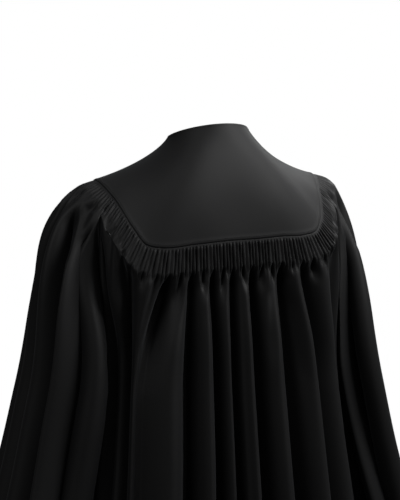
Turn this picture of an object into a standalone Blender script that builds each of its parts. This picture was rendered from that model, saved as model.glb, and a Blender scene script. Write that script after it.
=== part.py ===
"""A black graduation gown, hollow, as it hangs from the shoulders of a general figure.

Metres, +Z up. The origin lies between the two shoulder points of the neckline, where the shoulders carry the gown.
The back faces +Y, the zip faces -Y, and +X is the wearer's left.

The cloth is built from columns that run down each cut. A column starts on the yoke's edge or on the armhole,
crosses the fluted band, falls to a ring round the body or the arm, and follows the rings down to the hem.
"""

import math
from collections import namedtuple
from functools import partial

import bmesh
import bpy
import numpy as np

# Cloth and sewing
CLOTH = 0.0016
GATHER_CLOTH = 0.0028
YOKE_CLOTH = 0.0020
YOKE_LIFT = 0.0008
SEAM_GAP = 0.0003
FLUTED_BAND = 0.042
BACK_FLUTES = 3
FRONT_FLUTES = 2
FLUTE_RIDGE = 0.0004
FLUTE_VALLEY = -0.0022
BAND_EASE = 0.004
GATHER_DEPTH = 0.007
LEFT_FULLNESS = 0.28
RIGHT_FULLNESS = 0.30
LEFT_SPREAD = 0.75
RIGHT_SPREAD = 0.72

# Neckline
NECK_HALF_WIDTH = 0.065
NAPE_RISE = 0.033
SIDE_RISE = 0.011
V_DEPTH = 0.098
V_DROP = 0.095
NECK_SLOPE_BACK = math.radians(66)
NECK_SLOPE_SIDE = math.radians(62)
RIGHT_CORNER_RISE = 0.009
RIGHT_SHOULDER_DROP = 0.0055
YOKE_BULGE = 0.006

# Heights
LOW_Z = -0.38
CUFF_Z = -0.68
HEM_Z = -1.184
UNDERARM = (0.2020, 0.0, -0.268)

# Zip, with the slider at its top. The tab hangs from a bar that passes through the slider's bridge.
ZIP_HALF_WIDTH = 0.0042
ZIP_THICK = 0.0018
SLIDER_PLACE = 0.0085
SLIDER_LIFT = 0.0012
SLIDER_HALF_WIDTH = 0.0045
SLIDER_HALF_LENGTH = 0.0060
SLIDER_THICK = 0.0026
BRIDGE_HALF_WIDTH = 0.0014
BRIDGE_HALF_LENGTH = 0.0044
POST = 0.0012
BRIDGE_OPENING = 0.0018
BRIDGE_BAR = 0.0010
TAB_BAR = 0.0010
TAB_HALF_WIDTH = 0.0034
TAB_RAIL = 0.0015
TAB_WINDOW = 0.0080
TAB_LENGTH = 0.0300
TAB_THICK = 0.0010

BODY_SQUARENESS = 3.0
SLEEVE_SQUARENESS = 2.3
SAMPLES = 181
NUDGE = 1e-3
ACROSS = 0.03

# The yoke's sewn edge, from the centre back over the wearer's left shoulder to the centre front. The point on the
# edge, the way the cloth falls from it, and the angle of the neckline that faces it.
EdgeRow = namedtuple("EdgeRow", "place x y z out back down neck_angle")
YOKE_EDGE = (
    EdgeRow("centre back", 0.000, 0.1140, -0.144, 0.00, 0.12, 0.99, 0),
    EdgeRow("back", 0.070, 0.1125, -0.147, 0.05, 0.13, 0.99, 32),
    EdgeRow("inside corner", 0.122, 0.1070, -0.150, 0.25, 0.17, 0.95, 50),
    EdgeRow("back corner", 0.146, 0.0990, -0.145, 0.45, 0.19, 0.87, 58),
    EdgeRow("shoulder blade", 0.161, 0.0860, -0.122, 0.62, 0.20, 0.76, 65),
    EdgeRow("back armhole", 0.178, 0.0470, -0.077, 0.70, 0.20, 0.68, 78),
    EdgeRow("shoulder", 0.190, 0.0000, -0.053, 0.96, 0.00, 0.26, 90),
    EdgeRow("front armhole", 0.178, -0.0480, -0.080, 0.70, -0.20, 0.68, 102),
    EdgeRow("chest", 0.163, -0.0860, -0.122, 0.58, -0.24, 0.78, 115),
    EdgeRow("front corner", 0.146, -0.1040, -0.148, 0.40, -0.26, 0.88, 124),
    EdgeRow("front", 0.080, -0.1250, -0.155, 0.08, -0.22, 0.97, 150),
    EdgeRow("centre front", 0.0045, -0.1320, -0.152, 0.00, -0.20, 0.98, 180),
)

# The armhole between the end of the fluted band and the underarm, at the back. The front is its mirror.
ArmholeRow = namedtuple("ArmholeRow", "y z")
ARMHOLE = (
    ArmholeRow(0.048, -0.150),
    ArmholeRow(0.036, -0.200),
    ArmholeRow(0.020, -0.244),
)

# How far out the body reaches before the sleeve begins, at each height. Below the underarm the sleeve lies round
# the body's corners, and stays a little clear of it.
SLEEVE_WRAP = 0.020
SLEEVE_CLEAR = 0.0035
DivideRow = namedtuple("DivideRow", "z x")
DIVIDE = (
    DivideRow(CUFF_Z - 0.05, 0.262),
    DivideRow(CUFF_Z, 0.254),
    DivideRow(-0.50, 0.227),
    DivideRow(LOW_Z, 0.210),
    DivideRow(UNDERARM[2], UNDERARM[0]),
    DivideRow(-0.20, 0.2030),
    DivideRow(-0.15, 0.2035),
    DivideRow(-0.1055, 0.2030),
)

BodyRing = namedtuple("BodyRing", "z half_width back front")
BODY_RINGS = (
    BodyRing(HEM_Z, 0.340, 0.240, 0.245),
    BodyRing(-0.900, 0.288, 0.203, 0.212),
    BodyRing(CUFF_Z, 0.246, 0.172, 0.184),
    BodyRing(-0.520, 0.222, 0.152, 0.165),
    BodyRing(LOW_Z, 0.207, 0.134, 0.146),
)

# The rings of each sleeve. The left arm hangs a little further from the body than the right.
SleeveRing = namedtuple("SleeveRing", "z inner outer back front")
LEFT_SLEEVE_RINGS = (
    SleeveRing(CUFF_Z, 0.262, 0.370, 0.118, -0.168),
    SleeveRing(-0.520, 0.232, 0.324, 0.102, -0.138),
    SleeveRing(LOW_Z, 0.206, 0.292, 0.098, -0.124),
)
RIGHT_SLEEVE_RINGS = (
    SleeveRing(CUFF_Z, 0.262, 0.362, 0.114, -0.168),
    SleeveRing(-0.520, 0.232, 0.313, 0.097, -0.136),
    SleeveRing(LOW_Z, 0.206, 0.281, 0.091, -0.120),
)

# Folds from one seam to the next. A fold that hangs from the yoke holds some gathers of the fluted band; one with
# none hangs from the armhole. The widths are shares of the ring, and the depths are from valley to ridge.
Fold = namedtuple("Fold", "gathers low_width hem_width high_depth depth")
BACK_FOLDS = (
    Fold(0, 13.0, 14, 0.004, 0.010),
    Fold(0, 13.0, 14, 0.004, 0.010),
    Fold(5, 10.4, 15, 0.020, 0.010),
    Fold(3, 5.5, 10, 0.022, 0.006),
    Fold(2, 27.5, 20, 0.018, 0.026),
    Fold(2, 16.3, 17, 0.020, 0.025),
    Fold(2, 9.8, 14, 0.012, 0.016),
    Fold(2, 14.1, 16, 0.020, 0.024),
    Fold(3, 19.1, 18, 0.022, 0.027),
    Fold(2, 20.8, 18, 0.022, 0.027),
    Fold(3, 16.5, 16, 0.020, 0.024),
    Fold(3, 7.0, 13, 0.014, 0.012),
    Fold(2, 5.0, 11, 0.008, 0.008),
    Fold(0, 11.0, 12, 0.004, 0.008),
    Fold(0, 11.0, 12, 0.004, 0.008),
)
FRONT_FOLDS = (
    Fold(0, 12, 12, 0.004, 0.008),
    Fold(0, 12, 12, 0.004, 0.010),
    Fold(2, 10, 13, 0.014, 0.016),
    Fold(2, 13, 15, 0.018, 0.022),
    Fold(2, 23, 19, 0.018, 0.028),
    Fold(2, 18, 17, 0.014, 0.022),
    Fold(1, 12, 12, 0.002, 0.003),
)
LEFT_SLEEVE_FOLDS = (
    Fold(0, 10, 10, 0.004, 0.006),
    Fold(0, 18, 16, 0.014, 0.026),
    Fold(1, 11, 12, 0.014, 0.022),
    Fold(1, 15, 14, 0.014, 0.022),
    Fold(1, 10, 10, 0.012, 0.014),
    Fold(1, 9, 11, 0.014, 0.018),
    Fold(0, 10, 11, 0.012, 0.018),
    Fold(0, 9, 9, 0.008, 0.014),
    Fold(0, 8, 8, 0.004, 0.006),
)
RIGHT_SLEEVE_FOLDS = (
    Fold(0, 13, 12, 0.004, 0.008),
    Fold(0, 8, 11, 0.012, 0.020),
    Fold(1, 14, 13, 0.014, 0.022),
    Fold(1, 12, 12, 0.014, 0.020),
    Fold(1, 11, 11, 0.014, 0.018),
    Fold(1, 11, 11, 0.014, 0.020),
    Fold(0, 12, 12, 0.012, 0.020),
    Fold(0, 11, 11, 0.008, 0.016),
    Fold(0, 8, 8, 0.004, 0.006),
)

# Where the rows of a solid run: 1 to 2 is the fall to the first ring, 2 to 3 the rings down to the hem.
FALL_ROWS = (1.08, 1.22, 1.50, 2.0, 2.30, 2.65, 3.0)
COLUMNS_A_FOLD = 6
YOKE_ROWS = 7


def smooth(at, stations, values):
    """The values at some places on a smooth curve through a table's rows."""
    at = np.atleast_1d(np.asarray(at, float))
    stations = np.asarray(stations, float)
    values = np.asarray(values, float)
    slopes = np.gradient(values, stations, axis=0)
    row = np.clip(np.searchsorted(stations, at, side="right") - 1, 0, len(stations) - 2)
    step = stations[row + 1] - stations[row]
    t = np.clip((at - stations[row]) / step, 0, 1)
    if values.ndim == 2:
        t = t[:, None]
        step = step[:, None]
    return (
        (1 + 2 * t) * (1 - t) ** 2 * values[row]
        + t * (1 - t) ** 2 * step * slopes[row]
        + t * t * (3 - 2 * t) * values[row + 1]
        + t * t * (t - 1) * step * slopes[row + 1]
    )


def unit(vectors):
    return vectors / np.linalg.norm(vectors, axis=-1, keepdims=True)


def ease(t):
    """0 before 0, 1 after 1, and a smooth step between."""
    t = np.clip(t, 0, 1)
    return t * t * (3 - 2 * t)


def column_of(rows, *names):
    return np.array([[getattr(row, name) for name in names] for row in rows], float).squeeze()


# The yoke's edge is measured along itself, from the centre back. A negative place is on the wearer's right.
EDGE_POINTS = column_of(YOKE_EDGE, "x", "y", "z")
EDGE_FALL = column_of(YOKE_EDGE, "out", "back", "down") * (1, 1, -1)
EDGE_PLACES = np.concatenate([[0], np.cumsum(np.linalg.norm(np.diff(EDGE_POINTS, axis=0), axis=1))])
PLACE = {row.place: place for row, place in zip(YOKE_EDGE, EDGE_PLACES)}


def mirrored_table(values, odd):
    """A half table with its mirror before it, so that a curve through it is smooth at the centre back."""
    return np.concatenate([values[:0:-1] * odd, values])


BOTH_PLACES = mirrored_table(EDGE_PLACES, -1)
BOTH_POINTS = mirrored_table(EDGE_POINTS, np.array([-1, 1, 1]))
BOTH_FALLS = mirrored_table(EDGE_FALL, np.array([-1, 1, 1]))
BOTH_ANGLES = mirrored_table(column_of(YOKE_EDGE, "neck_angle"), -1)


def yoke_edge(place):
    """The yoke's sewn edge. Its back corner on the wearer's right hangs a little higher."""
    points = smooth(place, BOTH_PLACES, BOTH_POINTS)
    right = -np.asarray(place, float)
    corner = PLACE["back corner"]
    points[:, 2] += RIGHT_CORNER_RISE * ease(right / corner) * (1 - ease((right - corner) / 0.06))
    return points


def yoke_fall(place):
    return unit(smooth(place, BOTH_PLACES, BOTH_FALLS))


def edge_normal(place):
    """Straight out of the cloth at the yoke's edge."""
    along = yoke_edge(place + NUDGE) - yoke_edge(place - NUDGE)
    return unit(np.cross(along, yoke_fall(place)))


def neckline(place):
    """The neckline's point that faces a place on the yoke's edge: a circle at the back, a soft V at the front."""
    angle = np.radians(smooth(place, BOTH_PLACES, BOTH_ANGLES))
    side = np.sign(angle)
    turn = np.abs(angle)
    front = np.clip(turn / (math.pi / 2) - 1, 0, 1)
    at_back = turn <= math.pi / 2
    x = np.where(at_back, NECK_HALF_WIDTH * np.sin(turn), NECK_HALF_WIDTH * (1 - front**2))
    y = np.where(at_back, NECK_HALF_WIDTH * np.cos(turn), -V_DEPTH * front)
    z = SIDE_RISE + np.where(at_back, (NAPE_RISE - SIDE_RISE) * np.cos(turn), -(V_DROP + SIDE_RISE) * front)
    return np.stack([side * np.maximum(x, EDGE_POINTS[-1, 0] * front), y, z], axis=1)


def yoke_point(place, share):
    """A point of the yoke, from the neckline (0) to its sewn edge (1)."""
    start = neckline(place)
    end = yoke_edge(place)
    fall = yoke_fall(place)
    span = np.linalg.norm(end - start, axis=1, keepdims=True)
    turn = np.radians(np.abs(smooth(place, BOTH_PLACES, BOTH_ANGLES)))
    slope = NECK_SLOPE_SIDE + (NECK_SLOPE_BACK - NECK_SLOPE_SIDE) * np.cos(turn) ** 2
    outward = unit((end - start) * (1, 1, 0))
    leave = outward * np.cos(slope)[:, None] - np.sin(slope)[:, None] * np.array([0, 0, 1])
    t = np.asarray(share, float).reshape(-1, 1)
    fullness = YOKE_BULGE * ease(turn / 0.9) * (1 - ease((turn - 1.0) / 0.57))
    bulge = unit(outward + (0, 0, 0.6)) * fullness[:, None]
    return (
        (1 - t) ** 3 * start
        + 3 * t * (1 - t) ** 2 * (start + leave * span / 5)
        + 3 * t * t * (1 - t) * (end - fall * span / 3)
        + t**3 * end
        + 16 * t * t * (1 - t) ** 2 * bulge
    )


def squared(value, squareness):
    """A sine or cosine that makes a circle into a rounded box."""
    return np.sign(value) * np.abs(value) ** (2 / squareness)


def arc_shares(first_axis, second_axis, turn, squareness):
    """Angles round a rounded box and the share of its length that each has reached."""
    angles = np.linspace(0, turn, SAMPLES)
    along = first_axis * squared(np.cos(angles), squareness)
    aside = second_axis * squared(np.sin(angles), squareness)
    length = np.concatenate([[0], np.cumsum(np.hypot(np.diff(along), np.diff(aside)))])
    return angles, length / length[-1]


BODY_ANGLES, BODY_SHARES = arc_shares(0.68, 1, math.pi / 2, BODY_SQUARENESS)
SLEEVE_ANGLES, SLEEVE_SHARES = arc_shares(0.42, 1, math.pi, SLEEVE_SQUARENESS)


def body_ring(share, z):
    """A point on the ring round the body: 0 is the centre back, 1 the side on the wearer's left, 2 the front."""
    rings = BODY_RINGS
    heights = [row.z for row in rings]
    half_width = smooth(z, heights, column_of(rings, "half_width"))
    back = smooth(z, heights, column_of(rings, "back"))
    front = smooth(z, heights, column_of(rings, "front"))
    turn = np.abs(share)
    at_back = turn <= 1
    angle = np.interp(np.where(at_back, turn, 2 - turn), BODY_SHARES, BODY_ANGLES)
    x = np.sign(share) * half_width * squared(np.sin(angle), BODY_SQUARENESS)
    y = np.where(at_back, back, -front) * squared(np.cos(angle), BODY_SQUARENESS)
    return np.stack([x, y, np.broadcast_to(z, x.shape)], axis=1)


def sleeve_ring(rings, share, z):
    """A point on the ring round the left arm: 0 is the outside, 1 the underarm by way of the back, -1 by the front."""
    heights = [row.z for row in rings]
    inner = smooth(z, heights, column_of(rings, "inner"))
    outer = smooth(z, heights, column_of(rings, "outer"))
    back = smooth(z, heights, column_of(rings, "back"))
    front = smooth(z, heights, column_of(rings, "front"))
    angle = np.interp(np.abs(share), SLEEVE_SHARES, SLEEVE_ANGLES)
    x = (inner + outer) / 2 + (outer - inner) / 2 * squared(np.cos(angle), SLEEVE_SQUARENESS)
    y = (back + front) / 2 + np.sign(share) * (back - front) / 2 * squared(np.sin(angle), SLEEVE_SQUARENESS)
    return np.stack([x, y, np.broadcast_to(z, x.shape)], axis=1)


def divide(z, y=0.0):
    """How far out the body may reach at a height."""
    wrap = SLEEVE_WRAP * ease((np.abs(y) - 0.02) / 0.09) * ease((-0.24 - np.asarray(z)) / 0.20)
    return smooth(z, column_of(DIVIDE, "z"), column_of(DIVIDE, "x")) - wrap


def band_end(place):
    """The lower edge of the fluted band."""
    return yoke_edge(place) + yoke_fall(place) * FLUTED_BAND


def armhole(share, front):
    """The armhole seam on the wearer's left, from the end of the fluted band (0) to the underarm (1)."""
    flip = -1 if front else 1
    start = band_end(np.array([PLACE["front armhole" if front else "back armhole"]]))[0]
    rows = [start]
    rows += [(divide(row.z)[0], flip * row.y, row.z) for row in ARMHOLE]
    rows += [UNDERARM]
    points = np.array(rows)
    places = np.concatenate([[0], np.cumsum(np.linalg.norm(np.diff(points, axis=0), axis=1))])
    return smooth(np.asarray(share, float) * places[-1], places, points)


class Cut:
    """One cut of cloth, as columns numbered by its folds: column 2.5 is the ridge of the third fold.

    ring gives the points of its rings, ring_shares where its first and last columns meet them, and edge_places
    where its fluted or gathered folds begin and end on the yoke's edge. fronts says at each end whether the armhole
    there is the front one, and sides which shoulder it is on. keep holds a point on its own side of a seam.
    """

    def __init__(self, folds, ring, ring_shares, edge_places, fronts, sides, hem, keep, facing, fullness, spread,
                 growth, flutes):
        self.facing = facing
        self.growth = growth
        self.fullness = fullness
        self.spread = spread
        self.folds = folds
        self.ring = ring
        self.edge_places = edge_places
        self.fronts = fronts
        self.sides = sides
        self.hem = hem
        self.keep = keep
        self.flutes = flutes
        count = len(folds)
        self.numbers = np.arange(count + 1)
        gathers = np.array([fold.gathers for fold in folds])
        sewn = np.flatnonzero(gathers)
        self.first = int(sewn[0])
        self.last = int(sewn[-1]) + 1
        self.gathers = gathers
        self.places = np.concatenate([[0], np.cumsum(gathers)]) / gathers.sum()
        self.low = self._shares([fold.low_width for fold in folds], ring_shares)
        self.hem_shares = self._shares([fold.hem_width for fold in folds], ring_shares)

    @staticmethod
    def _shares(widths, ends):
        reached = np.concatenate([[0], np.cumsum(widths)]) / np.sum(widths)
        return ends[0] + (ends[1] - ends[0]) * reached

    def edge_place(self, column):
        """The place on the yoke's edge that a column hangs from."""
        reached = np.interp(column, self.numbers, self.places)
        return self.edge_places[0] + (self.edge_places[1] - self.edge_places[0]) * reached

    def start(self, column):
        """Where a column leaves the fluted band or the armhole, and which way it goes."""
        place = self.edge_place(column)
        point = band_end(place)
        way = yoke_fall(place)
        down = np.array([0, 0, -1.0])
        for end, before, after in ((0, column < self.first, self.first), (1, column > self.last, self.last)):
            outer_end = self.numbers[0] if end == 0 else self.numbers[-1]
            if outer_end == after or not before.any():
                continue
            share = (column[before] - after) / (outer_end - after)
            reached = armhole(share, self.fronts[end])
            reached[:, 0] *= self.sides[end]
            point[before] = reached
            way[before] = unit(way[before] * (1 - ease(share * 2))[:, None] + down * ease(share * 2)[:, None])
        return point, unit(way * self.spread + down * (1 - self.spread))

    def held_in(self, column, down):
        """A column and a height kept on the cut: outside the fluted folds it starts at the armhole."""
        column = np.clip(np.asarray(column, float), 0, len(self.folds))
        top = np.where((column < self.first) | (column > self.last), 1, 0)
        return column, np.clip(np.asarray(down, float), top, 3)

    def base(self, column, down):
        """The cloth with its folds smoothed out."""
        column, down = self.held_in(column, down)
        start, way = self.start(column)
        place = self.edge_place(column)
        band = yoke_edge(place) + yoke_fall(place) * (FLUTED_BAND * np.clip(down, 0, 1))[:, None]
        low = self.ring(np.interp(column, self.numbers, self.low), np.full(len(column), LOW_Z))
        below = self.ring(np.interp(column, self.numbers, self.low), np.full(len(column), LOW_Z - 0.03))
        span = np.linalg.norm(low - start, axis=1, keepdims=True)
        t = np.clip(down - 1, 0, 1)[:, None]
        fall = (
            (1 - t) ** 3 * start
            + 3 * t * (1 - t) ** 2 * (start + way * span * self.fullness)
            + 3 * t * t * (1 - t) * (low - unit(below - low) * span * 0.45)
            + t**3 * low
        )
        sunk = np.clip(down - 2, 0, 1)
        z = LOW_Z + (self.hem - LOW_Z) * sunk
        shares = np.interp(column, self.numbers, self.low) * (1 - ease(sunk))
        shares = shares + np.interp(column, self.numbers, self.hem_shares) * ease(sunk)
        rings = self.ring(shares, z)
        banded = (down < 1)[:, None]
        ringed = (down > 2)[:, None]
        return np.where(banded, band, np.where(ringed, rings, fall))

    def inside(self, points):
        """Points of the inner face, kept behind or before the side seam and beside the zip."""
        return self.keep(points, inner=True)

    def base_normal(self, column, down):
        return self._normal(self.base, column, down)

    def _normal(self, surface, column, down):
        across = surface(column + ACROSS, down) - surface(column - ACROSS, down)
        along = surface(column, down + NUDGE) - surface(column, down - NUDGE)
        return unit(np.cross(along, across)) * self.facing

    def relief(self, column, down):
        """How far the folds stand out of the smoothed cloth."""
        fold = np.clip(np.floor(column).astype(int), 0, len(self.folds) - 1)
        phase = np.clip(column - fold, 0, 1)
        ridge = np.sin(np.pi * phase) ** (0.8 + 0.8 * np.clip(down - 2, 0, 1))
        high = np.array([row.high_depth for row in self.folds])
        low = np.array([row.depth for row in self.folds])
        lowered = ease(down - 1)
        depth = high[fold] + (low - high)[fold] * lowered
        middles = self.numbers[:-1] + 0.5
        even = np.interp(column, middles, high) * (1 - lowered) + np.interp(column, middles, low) * lowered
        gathers = self.gathers[fold]
        sewn = gathers > 0
        small = np.sin(np.pi * gathers * phase) ** 2
        grown = np.where(sewn, ease((down - 1) / 0.4), ease((down - 1.3) / 0.7))
        wider = 1 + self.growth * np.clip(down - 2, 0, 1)
        fading = ease((down - 1) / 0.10) * (1 - ease((down - 1.15) / 0.5))
        folds = (depth * ridge - even / 2) * grown * wider
        from_end = np.minimum(column - self.first, self.last - column)
        return folds + np.where(sewn, GATHER_DEPTH * fading * (small - 0.5 * ease(from_end * 2)), 0)

    def surface(self, column, down):
        """The cloth's outer face."""
        column, down = self.held_in(column, down)
        point = self.base(column, down)
        normal = self.base_normal(column, down)
        return self.keep(point + normal * self.relief(column, down)[:, None])

    def normal(self, column, down):
        return self._normal(self.surface, column, down)


def keep_back(points, inner=False):
    """The back stays behind the side seams and inside the sleeves."""
    limit = divide(points[:, 2], points[:, 1]) - SEAM_GAP
    limit = np.where((points[:, 2] < CUFF_Z - 0.05) | inner, 1, limit)
    x = np.clip(points[:, 0], -limit, limit)
    y = np.where(np.abs(points[:, 0]) > 0.1, np.maximum(points[:, 1], SEAM_GAP / 2), points[:, 1])
    return np.stack([x, y, points[:, 2]], axis=1)


def keep_front(points, inner=False):
    """The left front stays before the side seam, inside the sleeve and beside the zip."""
    limit = divide(points[:, 2], points[:, 1]) - SEAM_GAP
    limit = np.where((points[:, 2] < CUFF_Z - 0.05) | inner, 1, limit)
    x = np.clip(points[:, 0], ZIP_HALF_WIDTH + SEAM_GAP, limit)
    y = np.where(points[:, 0] > 0.1, np.minimum(points[:, 1], -SEAM_GAP / 2), points[:, 1])
    return np.stack([x, y, points[:, 2]], axis=1)


def keep_sleeve(points, inner=False):
    """The left sleeve stays outside the body."""
    if inner:
        return points
    clear = SEAM_GAP + SLEEVE_CLEAR * ease((-0.15 - points[:, 2]) / 0.15)
    limit = np.where(points[:, 2] < -0.1055, divide(points[:, 2], points[:, 1]) + clear, 0)
    return np.stack([np.maximum(points[:, 0], limit), points[:, 1], points[:, 2]], axis=1)


def back_cut():
    ends = (PLACE["back armhole"], -PLACE["back armhole"])
    return Cut(BACK_FOLDS, body_ring, (1, -1), ends, (False, False), (1, -1), HEM_Z, keep_back, 1, 0.16, 0.35, 0.9,
               BACK_FLUTES)


def front_cut():
    """The left front, from the side seam to the zip."""
    ends = (PLACE["front armhole"], PLACE["centre front"])
    return Cut(FRONT_FOLDS, body_ring, (1, 2), ends, (True, True), (1, 1), HEM_Z, keep_front, -1, 0.16, 0.35, 0.9,
               FRONT_FLUTES)


def sleeve_cut(folds, rings, fullness, spread):
    """A sleeve, as on the left, from the underarm round the back of the arm and back to the underarm."""
    ends = (PLACE["back armhole"] + 2 * SEAM_GAP, PLACE["front armhole"] - 2 * SEAM_GAP)
    return Cut(folds, partial(sleeve_ring, rings), (1, -1), ends, (False, True), (1, 1), CUFF_Z, keep_sleeve, -1,
               fullness, spread, 0.1, BACK_FLUTES)


def material(name, colour, roughness, metallic=0.0):
    made = bpy.data.materials.new(name)
    made.use_nodes = True
    shader = made.node_tree.nodes["Principled BSDF"]
    shader.inputs["Base Color"].default_value = (*colour, 1)
    shader.inputs["Roughness"].default_value = roughness
    shader.inputs["Metallic"].default_value = metallic
    return made


def hung(point):
    """A point of the gown as worn: the shoulder on the wearer's right is a little lower."""
    drop = RIGHT_SHOULDER_DROP * ease((-point.x - 0.08) / 0.10) * ease((point.z + 0.22) / 0.12)
    return (point.x, point.y, point.z - drop)


def add_object(name, bm, finish):
    for vertex in bm.verts:
        vertex.co = hung(vertex.co)
    mesh = bpy.data.meshes.new(name)
    bm.to_mesh(mesh)
    bm.free()
    made = bpy.data.objects.new(name, mesh)
    made.data.materials.append(finish)
    bpy.context.scene.collection.objects.link(made)
    return made


def ladder(bm, upper, lower):
    """Triangles between two rows of (place, vertex), which may differ in number."""
    i = 0
    j = 0
    while i < len(upper) - 1 or j < len(lower) - 1:
        next_up = upper[i + 1][0] if i < len(upper) - 1 else math.inf
        next_down = lower[j + 1][0] if j < len(lower) - 1 else math.inf
        if next_up <= next_down:
            corners = (upper[i][1], lower[j][1], upper[i + 1][1])
            i += 1
        else:
            corners = (upper[i][1], lower[j][1], lower[j + 1][1])
            j += 1
        if len(set(corners)) == 3:
            bm.faces.new(corners)


def within(row, low, high):
    return [(place, vertex) for place, vertex in row if low - 1e-9 <= place <= high + 1e-9]


def wall_from_rows(outer, inner, closed):
    """A wall with an outer and an inner face. Each is a list of rows of (column, point), the top row first."""
    bm = bmesh.new()

    def placed(rows):
        made = []
        for row in rows:
            made.append([(column, bm.verts.new(point)) for column, point in row])
            if closed and row[0][0] == closed[0] and row[-1][0] == closed[1]:
                bm.verts.remove(made[-1][-1][1])
                made[-1][-1] = (row[-1][0], made[-1][0][1])
        return made

    faces = [placed(outer), placed(inner)]
    for rows in faces:
        for upper, lower in zip(rows, rows[1:]):
            ladder(bm, upper, within(lower, upper[0][0], upper[-1][0]))
    outer_rows, inner_rows = faces
    # The rims: along the top of the band, down its ends, along the armholes, down the sides and along the hem.
    ladder(bm, inner_rows[0], outer_rows[0])
    ladder(bm, outer_rows[-1], inner_rows[-1])
    rims = slice(0, 2) if closed else slice(None)
    for end in (0, -1):
        ladder(bm, rim_chain(outer_rows[rims], end), rim_chain(inner_rows[rims], end))
    bmesh.ops.recalc_face_normals(bm, faces=bm.faces)
    return bm


def rim_chain(rows, end):
    """The vertices down one end of a face, with the steps along the armhole where a row reaches further out."""
    chain = []
    reached = rows[0][end][0]
    for number, row in enumerate(rows):
        ahead = row[end][0]
        if abs(ahead - reached) < 1e-9:
            chain.append((number, row[end][1]))
            continue
        between = within(row, min(ahead, reached), max(ahead, reached))
        if end == 0:
            between = between[::-1]
        steps = len(between)
        chain += [(number + step / steps, vertex) for step, (_, vertex) in enumerate(between)]
        reached = ahead
    return chain


def cut_columns(cut, fine):
    """Column numbers across a cut: coarse over the armholes, and fine or coarse over the yoke's share."""
    coarse = np.arange(len(cut.folds) * COLUMNS_A_FOLD + 1) / COLUMNS_A_FOLD
    if not fine:
        return coarse
    flutes = []
    for number in range(cut.first, cut.last):
        points = 2 * cut.flutes * cut.folds[number].gathers
        flutes += [number + step / points for step in range(points)]
    flutes.append(cut.last)
    before = [c for c in coarse if c < cut.first - 1e-9]
    after = [c for c in coarse if c > cut.last + 1e-9]
    return np.array(before + flutes + after)


def fluted(cut, columns, down):
    """Rows across the fluted band: ridges and valleys in turn."""
    place = cut.edge_place(columns)
    down = np.full(len(columns), down)
    normal = edge_normal(place)
    ridge = np.arange(len(columns)) % 2 == 1
    lift = np.where(ridge, FLUTE_RIDGE, FLUTE_VALLEY)
    start = cut.base(columns, down) + yoke_fall(place) * SEAM_GAP
    return cut.keep(start + normal * lift[:, None])


def cloth_wall(name, cut, finish, closed=False, mirror=False):
    """The solid of one cut: flutes raised on the outside of its band, folds through the whole wall below it."""
    coarse = cut_columns(cut, False)
    head = coarse[(coarse >= cut.first - 1e-9) & (coarse <= cut.last + 1e-9)]
    outer = []
    inner = []

    def row(columns, points):
        return list(zip(columns.tolist(), points.tolist()))

    inner_head = cut.base(head, np.zeros(len(head))) + yoke_fall(cut.edge_place(head)) * SEAM_GAP
    inner_head = inner_head + edge_normal(cut.edge_place(head)) * (FLUTE_VALLEY - CLOTH)
    inner.append(row(head, cut.inside(inner_head)))
    mixed = cut_columns(cut, True)
    among = (mixed >= cut.first - 1e-9) & (mixed <= cut.last + 1e-9)
    outer.append(row(mixed[among], fluted(cut, mixed[among], 0.0)))
    points = cut.surface(mixed, np.full(len(mixed), 1 + BAND_EASE))
    points[among] = fluted(cut, mixed[among], 1.0)
    outer.append(row(mixed, points))
    down = np.full(len(coarse), 1 + BAND_EASE)
    among = (coarse >= cut.first - 1e-9) & (coarse <= cut.last + 1e-9)
    depth = np.where(among, CLOTH - FLUTE_VALLEY, CLOTH)
    inside = cut.surface(coarse, down) - cut.normal(coarse, down) * depth[:, None]
    inner.append(row(coarse, cut.inside(inside)))
    for number, at in enumerate(FALL_ROWS):
        down = np.full(len(coarse), at)
        points = cut.surface(coarse, down)
        normal = cut.normal(coarse, down)
        depth = np.where(among & (number == 0), GATHER_CLOTH, CLOTH)
        outer.append(row(coarse, points))
        inner.append(row(coarse, cut.inside(points - normal * depth[:, None])))
    bm = wall_from_rows(outer, inner, (0, len(cut.folds)) if closed else None)
    if mirror:
        bmesh.ops.scale(bm, vec=(-1, 1, 1), verts=bm.verts)
        bmesh.ops.recalc_face_normals(bm, faces=bm.faces)
    return add_object(name, bm, finish)


def keep_front_yoke(points):
    x = np.maximum(points[:, 0], ZIP_HALF_WIDTH + SEAM_GAP)
    return np.stack([x, np.minimum(points[:, 1], -SEAM_GAP), points[:, 2]], axis=1)


def keep_back_yoke(points):
    return np.stack([points[:, 0], np.maximum(points[:, 1], 0), points[:, 2]], axis=1)


def yoke_wall(name, first, last, columns, keep, finish, mirror=False):
    """A yoke between two places on its edge: a smooth wall from the neckline to the seam."""
    places = np.linspace(first, last, columns + 1)

    def face(lift):
        rows = []
        for share in np.linspace(0, 1, YOKE_ROWS):
            shares = np.full(len(places), share)
            point = yoke_point(places, shares)
            along = yoke_point(places + NUDGE, shares) - yoke_point(places - NUDGE, shares)
            under = yoke_point(places, shares + NUDGE) - yoke_point(places, shares - NUDGE)
            normal = unit(np.cross(along, under))
            rows.append(list(zip(range(columns + 1), keep(point + normal * lift).tolist())))
        return rows

    bm = wall_from_rows(face(YOKE_LIFT), face(YOKE_LIFT - YOKE_CLOTH), None)
    if mirror:
        bmesh.ops.scale(bm, vec=(-1, 1, 1), verts=bm.verts)
        bmesh.ops.recalc_face_normals(bm, faces=bm.faces)
    return add_object(name, bm, finish)


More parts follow.
